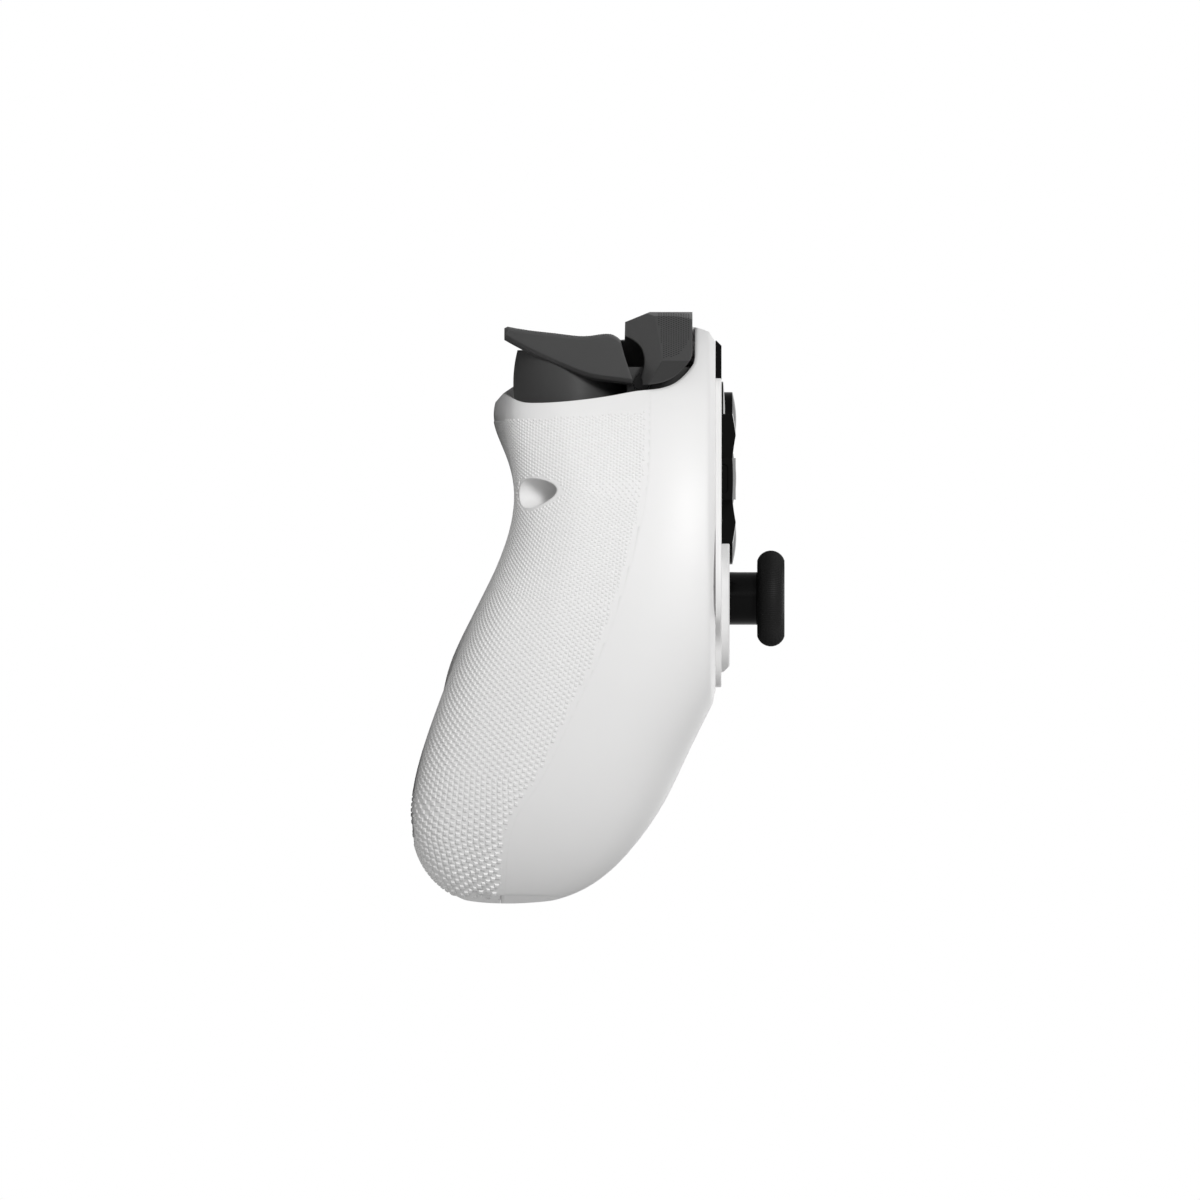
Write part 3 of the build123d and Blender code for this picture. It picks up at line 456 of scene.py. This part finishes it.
# Below this y each grip stands free of the other. How far from the grip's middle the rays start,
# below it and above it
GRIPS_APART, REACH_APART, REACH_JOINED = -24, 40, 120
# Least share of its ray that a row's first point faces
OUTSIDE_LEAST = 0.5
# Points to each side over which a normal is the mean
NORMAL_REACH = 6

# Low ledge of the rear shell at the end of the grip: its y, its lowest z and its least height
LEDGE_FROM, LEDGE_TO, LEDGE_LOW, LEDGE_LEAST = -38, -52.2, -44, 0.05
# Ramp that covers it: length, depth of its end, depth of its foot, how far it stands out at the
# ledge and how far it reaches over the ledge's edge
RAMP_LENGTH, RAMP_SINK, RAMP_FOOT, RAMP_PROUD, RAMP_ON = 2.4, 0.04, 0.6, 0.015, 0.27
# It starts this many points of the row before the ledge.
RAMP_BEFORE = 2

# Filler of the seam between the shells: how far it reaches to both sides and out, and its depth
SEAM_BACK, SEAM_ON, SEAM_PROUD, SEAM_DEPTH = 0.25, 0.7, 0.02, 0.5
# Points of a row that give its direction at the parting, and the height at which rays start there
SEAM_POINTS, SEAM_ABOVE = 3, 1
# Places above the first row of the grain, by y, where the filler has a section too
SEAM_TOP = (36.7, 36.3, 35.9, 35.5, 35.1)

rear_finder = surface_finder("rear_shell")
front_finder = surface_finder("front_shell")


def on_line(line, at):
    """Value at a place on a line through (place, value) knots."""
    knots = sorted(line)
    if at <= knots[0][0]:
        return knots[0][1]
    for (a, first), (b, second) in zip(knots, knots[1:]):
        if at <= b:
            return first + (second - first) * (at - a) / (b - a)
    return knots[-1][1]


def in_well(point, side, reach):
    """Whether a point lies within reach of the middle of a screw well."""
    x, y, _ = pad_point(point)
    return any(math.hypot(x * side - a, y - b) < reach for a, b in WELLS)


def row_slope(y):
    """Slope of the line that the rows lie across, and its length for each millimetre of y."""
    slope = (on_line(GRIP_LINE, y + 1) - on_line(GRIP_LINE, y - 1)) / 2
    return slope, math.hypot(1, slope)


def row_outline(side, y):
    """Points round a grip in the plane of a row, from its outer side over the back to the inner.

    Each is a place and a normal. Only the places where the rear shell is outermost count.
    """
    slope, length = row_slope(y)
    across = (slope / length, -1 / length)
    middle = place(on_line(GRIP_MIDDLE, y) * side, y, on_line(GRIP_LINE, y))
    reach = (REACH_APART if y < GRIPS_APART else REACH_JOINED) * MM
    outline = []
    for step in range(ROW_STEPS + 1):
        angle = math.radians(ROW_START + ROW_SWEEP * step / ROW_STEPS)
        sideways, back = math.cos(angle), math.sin(angle)
        ray = heading(side * sideways, across[0] * back, across[1] * back)
        start = middle + ray * reach
        point, normal, _, distance = rear_finder.ray_cast(start, -ray, reach)
        if point is None or in_well(point, side, WELL_REACH):
            continue
        # The first hit may lie on a wall inside the seam
        if not outline and normal.dot(ray) < OUTSIDE_LEAST:
            continue
        if front_finder.ray_cast(start, -ray, distance)[0] is None:
            outline.append((point, normal))
    return outline


def find_ledge(outline):
    """Numbers of the points between which the ramp lies, or None where the row has no ledge."""
    for i, ((point, _), (after, _)) in enumerate(zip(outline, outline[1:])):
        x, y, z = pad_point(point)
        if not LEDGE_TO < y < LEDGE_FROM or z < LEDGE_LOW or abs(x) < on_line(GRIP_MIDDLE, y):
            continue
        if abs(x) - abs(pad_point(after)[0]) > LEDGE_LEAST:
            end = i + 1
            while (outline[end][0] - point).length < RAMP_LENGTH * MM:
                end += 1
            return i, end
    return None


def over_ledge(outline, top, end):
    """The same points, with those at the ledge moved out on to the ramp."""
    moved = list(outline)
    for i in range(top + 1, end):
        share = (i - top) / (end - top)
        moved[i] = (outline[top][0].lerp(outline[end][0], share), outline[i][1])
    return moved


def smooth_normals(outline):
    """The same points, each with its neighbours' mean normal, because the mesh's faces are flat."""
    made = []
    for i, (point, _) in enumerate(outline):
        total = Vector()
        for _, normal in outline[max(0, i - NORMAL_REACH) : i + NORMAL_REACH + 1]:
            total += normal
        made.append((point, total.normalized()))
    return made


def ramp_section(outline, smooth, top, end):
    """Four corners of the ramp in a row: before the ledge, over its edge, at its end and inside."""
    crest, normal = outline[top][0], smooth[top][1]
    before = outline[top - RAMP_BEFORE][0]
    over = crest + (crest - before).normalized() * RAMP_ON * MM
    proud = normal * RAMP_PROUD * MM
    low = outline[end][0] - outline[end][1] * RAMP_SINK * MM
    return before + proud, over + proud, low, crest - normal * RAMP_FOOT * MM


def filler_section(outline):
    """Four corners of the filler at a row's parting: three over the shells and one inside."""
    edge, normal = outline[0]
    on = (edge - outline[SEAM_POINTS][0]).normalized() * MM
    proud = normal * SEAM_PROUD * MM
    up = SEAM_ABOVE * MM
    ends = []
    for along in (-SEAM_BACK, SEAM_ON):
        start = edge + on * along + normal * up
        hits = [finder.ray_cast(start, -normal, 2 * up) for finder in (rear_finder, front_finder)]
        depth = min([distance for *_, distance in hits if distance is not None] or [up])
        ends.append(start - normal * depth + proud)
    return ends[0], edge + proud, ends[1], edge - normal * SEAM_DEPTH * MM


def make_wedge(name, sections):
    """Closed wedge through the sections, which all have the same number of corners."""
    corners = [corner for section in sections for corner in section]
    count = len(sections[0])
    last = count * (len(sections) - 1)
    faces = [tuple(range(count)), tuple(range(last, last + count))]
    for at in range(0, last, count):
        for a in range(count):
            b = (a + 1) % count
            faces.append((at + b, at + a, at + count + a, at + count + b))
    mesh = bpy.data.meshes.new(name)
    mesh.from_pydata(corners, [], faces)
    made = bmesh.new()
    made.from_mesh(mesh)
    bmesh.ops.recalc_face_normals(made, faces=made.faces)
    made.to_mesh(mesh)
    made.free()
    mesh.materials.append(white_stud)
    wedge = add_object(name, mesh)
    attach(wedge, "pad")


def lengths_along(outline):
    """Length in millimetres from the start of a row to each of its points."""
    lengths = [0.0]
    for (a, _), (b, _) in zip(outline, outline[1:]):
        lengths.append(lengths[-1] + (b - a).length / MM)
    return lengths


def column_start(outline):
    """Length along a row to the line that the columns start from, and the normal there."""
    lengths = lengths_along(outline)
    places = [pad_point(point) for point, _ in outline]
    above = [z - on_line(COLUMN_START, y) for _, y, z in places]
    for i in range(len(outline) - 1):
        if above[i] >= 0 > above[i + 1]:
            share = above[i] / (above[i] - above[i + 1])
            return lengths[i] + share * (lengths[i + 1] - lengths[i]), outline[i][1]
    return None


def grain_reaches(point, side):
    """Whether a point lies inside the edges of the grain."""
    x, y, z = pad_point(point)
    if y > on_line(GRAIN_TOP, z) or x * side < on_line(GRAIN_INNER, y):
        return False
    return not in_well(point, side, WELL_MARGIN)


def row_studs(outline, start, side, pitch, odd, down):
    """Studs of one row, counted from the length at which its columns start.

    They get smaller next to the parting, so that none crosses it.
    """
    lengths = lengths_along(outline)
    spacing = 2 * COLUMN_SHARE * pitch
    margin = PARTING_LEAST * pitch
    found = []
    first = math.ceil(-start / spacing) - 1
    last = math.floor((lengths[-1] - start) / spacing)
    index = 0
    for k in range(first, last + 1):
        at = start + (k + 0.5 * odd) * spacing
        while index < len(lengths) - 2 and lengths[index + 1] < at:
            index += 1
        run = lengths[index + 1] - lengths[index]
        if run > GAP_MOST or not margin <= at <= lengths[-1] - margin:
            continue
        share = (at - lengths[index]) / max(run, GAP_LEAST)
        point = outline[index][0].lerp(outline[index + 1][0], share)
        normal = outline[index][1].lerp(outline[index + 1][1], share).normalized()
        if grain_reaches(point, side):
            edge = min(at, lengths[-1] - at) / (PARTING_FULL * pitch)
            found.append((point, normal, down, pitch * min(edge, 1)))
    return found


def grain_rows(side):
    """Studs on one side, and the sections of its ramp and of its seam's filler."""
    points, ramp, filler = [], [], []
    for y in SEAM_TOP:
        filler.append(filler_section(smooth_normals(row_outline(side, y))))
    y, odd = GRAIN_FROM, 0
    while y > GRAIN_TO:
        slope, length = row_slope(y)
        pitch = on_line(GRAIN_PITCH, y)
        outline = row_outline(side, y)
        ledge = find_ledge(outline)
        smooth = smooth_normals(over_ledge(outline, *ledge) if ledge else outline)
        if ledge:
            ramp.append(ramp_section(outline, smooth, *ledge))
        filler.append(filler_section(smooth))
        columns = column_start(smooth)
        if not columns:
            break
        start, facing = columns
        down = heading(0, -1 / length, -slope / length)
        points += row_studs(smooth, start, side, pitch, odd, down)
        # The rows come closer where the surface turns under at the end of the grip
        lie = math.sqrt(max(1 - facing.dot(down) ** 2, LIE_LEAST))
        y -= pitch / 2 / length * lie
        odd = 1 - odd
    return points, ramp, filler


for side, end in SIDES:
    points, ramp, filler = grain_rows(side)
    grain = make_studs(f"grip_grain_{end}", points, GRAIN_STUD, white_stud, "pad")
    make_wedge(f"grip_ramp_{end}", ramp)
    make_wedge(f"seam_filler_{end}", filler)


# Fine dots on the outer facet of each bumper, and on the finger side of each trigger

DOT = {"Width": 0.3 * MM, "Height": 0.02 * MM, "Sink": 0.04 * MM, "Top share": 0.85, "Sides": 6}
DOT_PITCH = 0.86
# Outer facet of the bumper in plan, (x, y), its columns of dots in depth, as first z, step and
# number, and the rows in a column
FACET_FROM, FACET_TO = (47.5, 50.2), (64.3, 42.3)
FACET_COLUMNS = (-10.08, 0.44, 13)
FACET_ROWS = range(-4, 26)
# Edges of the dotted field in side view: (y, z) of the back edge, and the lowest y by z
FACET_BACK = [(51, -10.35), (49.6, -10.25), (42.4, -9.2)]
FACET_LOW = [(-10.5, 42.75), (-9.5, 42.75), (-7.7, 43.05), (-6.5, 43.6), (-5.6, 44.5), (-4.6, 46.4)]
# Rays on to the facet: where they start above it, their length, and how much it has to face them
FACET_ABOVE, FACET_RAY, FACET_LEAST = 6, 9, 0.6
# The trigger's dotted field, its rays, and the margin in which the surface must go on
TRIGGER_FIELD_X = (27.5, 60.5)
TRIGGER_FIELD_Z = (-35.0, -17.6)
TRIGGER_ABOVE, TRIGGER_RAY, TRIGGER_LEAST = 60, 20, 0.8
MARGIN = 0.7
AROUND = ((0, 0), (MARGIN, 0), (-MARGIN, 0), (0, MARGIN), (0, -MARGIN))


def bumper_dots(side, finder):
    """Places for the dots of a bumper, in staggered columns along its outer facet."""
    along = Vector((FACET_TO[0] - FACET_FROM[0], FACET_TO[1] - FACET_FROM[1], 0)).normalized()
    outward = Vector((-along.y, along.x, 0))
    ray = heading(-side * outward.x, -outward.y, 0)
    direction = heading(side * along.x, along.y, 0)
    first, step, columns = FACET_COLUMNS
    points = []
    for column in range(columns):
        z = first + step * column
        for row in FACET_ROWS:
            spot = Vector((*FACET_FROM, z)) + along * DOT_PITCH * (row + 0.5 * (column % 2))
            if z < on_line(FACET_BACK, spot.y) or spot.y < on_line(FACET_LOW, z):
                continue
            eye = spot + outward * FACET_ABOVE
            start = place(side * eye.x, eye.y, eye.z)
            point, normal, *_ = finder.ray_cast(start, ray, FACET_RAY * MM)
            if point is not None and normal.dot(ray) < -FACET_LEAST:
                points.append((point, normal, direction, 1.0))
    return points


def trigger_dots(side, finder):
    """Places for the dots of a trigger, where its surface goes on all round a dot."""
    down, direction = heading(0, -1, 0), heading(0, 0, -1)
    points = []
    column = 0
    x = TRIGGER_FIELD_X[0]
    while x < TRIGGER_FIELD_X[1]:
        z = TRIGGER_FIELD_Z[0] + 0.5 * DOT_PITCH * (column % 2)
        while z < TRIGGER_FIELD_Z[1]:
            hits = []
            for step_x, step_z in AROUND:
                start = place(side * (x + step_x), TRIGGER_ABOVE, z + step_z)
                point, normal, *_ = finder.ray_cast(start, down, TRIGGER_RAY * MM)
                if point is not None and normal.dot(down) < -TRIGGER_LEAST:
                    hits.append((point, normal))
            if len(hits) == len(AROUND):
                points.append((*hits[0], direction, 1.0))
            z += DOT_PITCH
        x += DOT_PITCH / 2
        column += 1
    return points


for side, end in SIDES:
    for part, find_dots in (("bumper", bumper_dots), ("trigger", trigger_dots)):
        body = f"{part}_{end}"
        points = find_dots(side, surface_finder(body))
        # The dots' near-black colour is painted shade.
        dots = make_studs(f"{part}_dots_{end}", points, DOT, dot_painted_shade, body)


# Ribs round the rim of each stick cap

CAP_RIBS = {"Ribs": 144, "From axis": 6.0 * MM, "Rim radius": 2.44 * MM, "Rib radius": 0.11 * MM}
# Middle of the rim's height, and of the right stick across the pad
CAP_MIDDLE, STICK_X = 9.85, 26.0
# A rib reaches this far round the rim to both sides of its outermost place, in degrees.
RIB_REACH = 74
# Points along a rib and round it
RIB_POINTS, RIB_SIDES = 12, 4
RIB_INPUTS = {
    "Geometry": "Geometry",
    "Ribs": "Int",
    "From axis": "Float",
    "Rim radius": "Float",
    "Rib radius": "Float",
    "Finish": "Material",
}


def make_rib_group():
    """Group for thin ribs that follow the round rim of a cap about the Z axis."""
    group, tree, given = start_group("cap_ribs", RIB_INPUTS)
    rim = tree.node(
        "GeometryNodeCurveArc",
        {"mode": "RADIUS"},
        {
            "Resolution": RIB_POINTS,
            "Radius": given["Rim radius"],
            "Start Angle": math.radians(-RIB_REACH),
            "Sweep Angle": math.radians(2 * RIB_REACH),
        },
    )
    section = tree.node(
        "GeometryNodeCurvePrimitiveCircle",
        {"mode": "RADIUS"},
        {"Resolution": RIB_SIDES, "Radius": given["Rib radius"]},
    )
    rib = tree.node(
        "GeometryNodeCurveToMesh",
        sockets={"Curve": rim, "Profile Curve": section, "Fill Caps": True},
    )
    upright = tree.node(
        "GeometryNodeTransform",
        sockets={
            "Geometry": rib,
            "Translation": tree.vector(X=given["From axis"]),
            "Rotation": (math.radians(90), 0, 0),
        },
    )
    turn = tree.node("GeometryNodeInputIndex") * math.tau
    copies = tree.node(
        "GeometryNodeInstanceOnPoints",
        sockets={
            "Points": tree.node("GeometryNodePoints", sockets={"Count": given["Ribs"]}),
            "Instance": upright,
            "Rotation": tree.vector(Z=tree.maths("DIVIDE", turn, given["Ribs"])),
        },
    )
    end_group(tree, copies, given["Finish"])
    return group


def pad_matrix(x, y, z):
    """Matrix that takes a piece from the pad's directions at its own origin to its place."""
    turn = Matrix((heading(1, 0, 0), heading(0, 1, 0), heading(0, 0, 1))).transposed()
    return Matrix.Translation(place(x, y, z)) @ turn.to_4x4()


rib_group = make_rib_group()
for side, end in SIDES:
    empty = bpy.data.meshes.new("cap_ribs")
    inputs = {**CAP_RIBS, "Finish": black_rubber}
    at = pad_matrix(side * STICK_X, 0, CAP_MIDDLE)
    ribs = run_group(f"stick_cap_ribs_{end}", empty, rib_group, inputs, f"stick_{end}", at)


# Stage, light and camera

WORLD_LIGHT = 0.3
# Middle of the pad, in metres, at which the lamps look
LAMP_TARGET = Vector((0, 0, 0.03))
# Half the floor's side and its height, in metres, just under the studs
FLOOR_HALF, FLOOR_LEVEL = 3.0, -0.0004
FLOOR_LIT, FLOOR_SEEN = grey(0.8), grey(0.9)
# Width of the photograph's frame in metres, the place in its middle, and the camera's distance
VIEW_WIDTH, VIEW_MIDDLE, CAMERA_AWAY = 0.2136, (0, -0.27, -20.56), 0.6


def seen_share(tree):
    """1 for rays that show the background to the camera, directly or in gloss, and else 0."""
    path = tree.node("ShaderNodeLightPath")
    seen = path.output("Is Camera Ray") + path.output("Is Glossy Ray")
    return tree.maths("MINIMUM", seen + path.output("Is Transmission Ray"), 1.0)


def light_world():
    """White world that is bright where it is seen and lights the pad softly."""
    world = bpy.data.worlds.new("studio")
    world.use_nodes = True
    world.node_tree.nodes.clear()
    tree = Tree(world.node_tree)
    seen = seen_share(tree)
    sockets = {"Color": (1, 1, 1, 1), "Strength": seen + (1.0 - seen) * WORLD_LIGHT}
    background = tree.node("ShaderNodeBackground", sockets=sockets)
    tree.node("ShaderNodeOutputWorld", sockets={"Surface": background})
    bpy.context.scene.world = world


def add_lamp(name, at, size, power):
    """Area lamp that looks at the middle of the pad, with its place and size in metres."""
    data = bpy.data.lights.new(name, "AREA")
    data.size = size
    data.energy = power
    lamp = add_object(name, data)
    lamp.location = at
    lamp.rotation_mode = "QUATERNION"
    lamp.rotation_quaternion = (LAMP_TARGET - Vector(at)).to_track_quat("-Z", "Y")
    lamp.visible_camera = False


def add_floor():
    """Plain pale floor, a little paler where it is seen than where it lights the pad."""
    material, tree = new_material("floor_white")
    sockets = {"Base Color": tree.mix(seen_share(tree), FLOOR_LIT, FLOOR_SEEN), "Roughness": 0.9}
    shader = tree.node("ShaderNodeBsdfPrincipled", sockets=sockets)
    tree.node("ShaderNodeOutputMaterial", sockets={"Surface": shader})
    mesh = bpy.data.meshes.new("floor")
    corners = [(x * FLOOR_HALF, y * FLOOR_HALF, FLOOR_LEVEL) for x in (-1, 1) for y in (-1, 1)]
    mesh.from_pydata(corners, [], [(0, 2, 3, 1)])
    mesh.materials.append(material)
    floor = add_object("floor", mesh)


def add_camera():
    """Camera that looks along +X with the pad's +Y upwards, through a very long lens."""
    data = bpy.data.cameras.new("camera")
    data.type = "ORTHO"
    data.ortho_scale = VIEW_WIDTH
    data.clip_start, data.clip_end = 0.01, 10
    camera = add_object("camera", data)
    up, right = heading(0, 1, 0), heading(0, 0, 1)
    back = right.cross(up)
    camera.rotation_mode = "QUATERNION"
    camera.rotation_quaternion = Matrix((right, up, back)).transposed().to_quaternion()
    camera.location = place(*VIEW_MIDDLE) + back * CAMERA_AWAY
    bpy.context.scene.camera = camera


light_world()
add_lamp("key_lamp", (-1.08, 0.52, 0.4), 0.3, 8.8)
add_lamp("right_lamp", (0.9, 0.1, 0.9), 0.9, 4.0)
add_floor()
add_camera()
bpy.context.scene.view_settings.view_transform = "Standard"
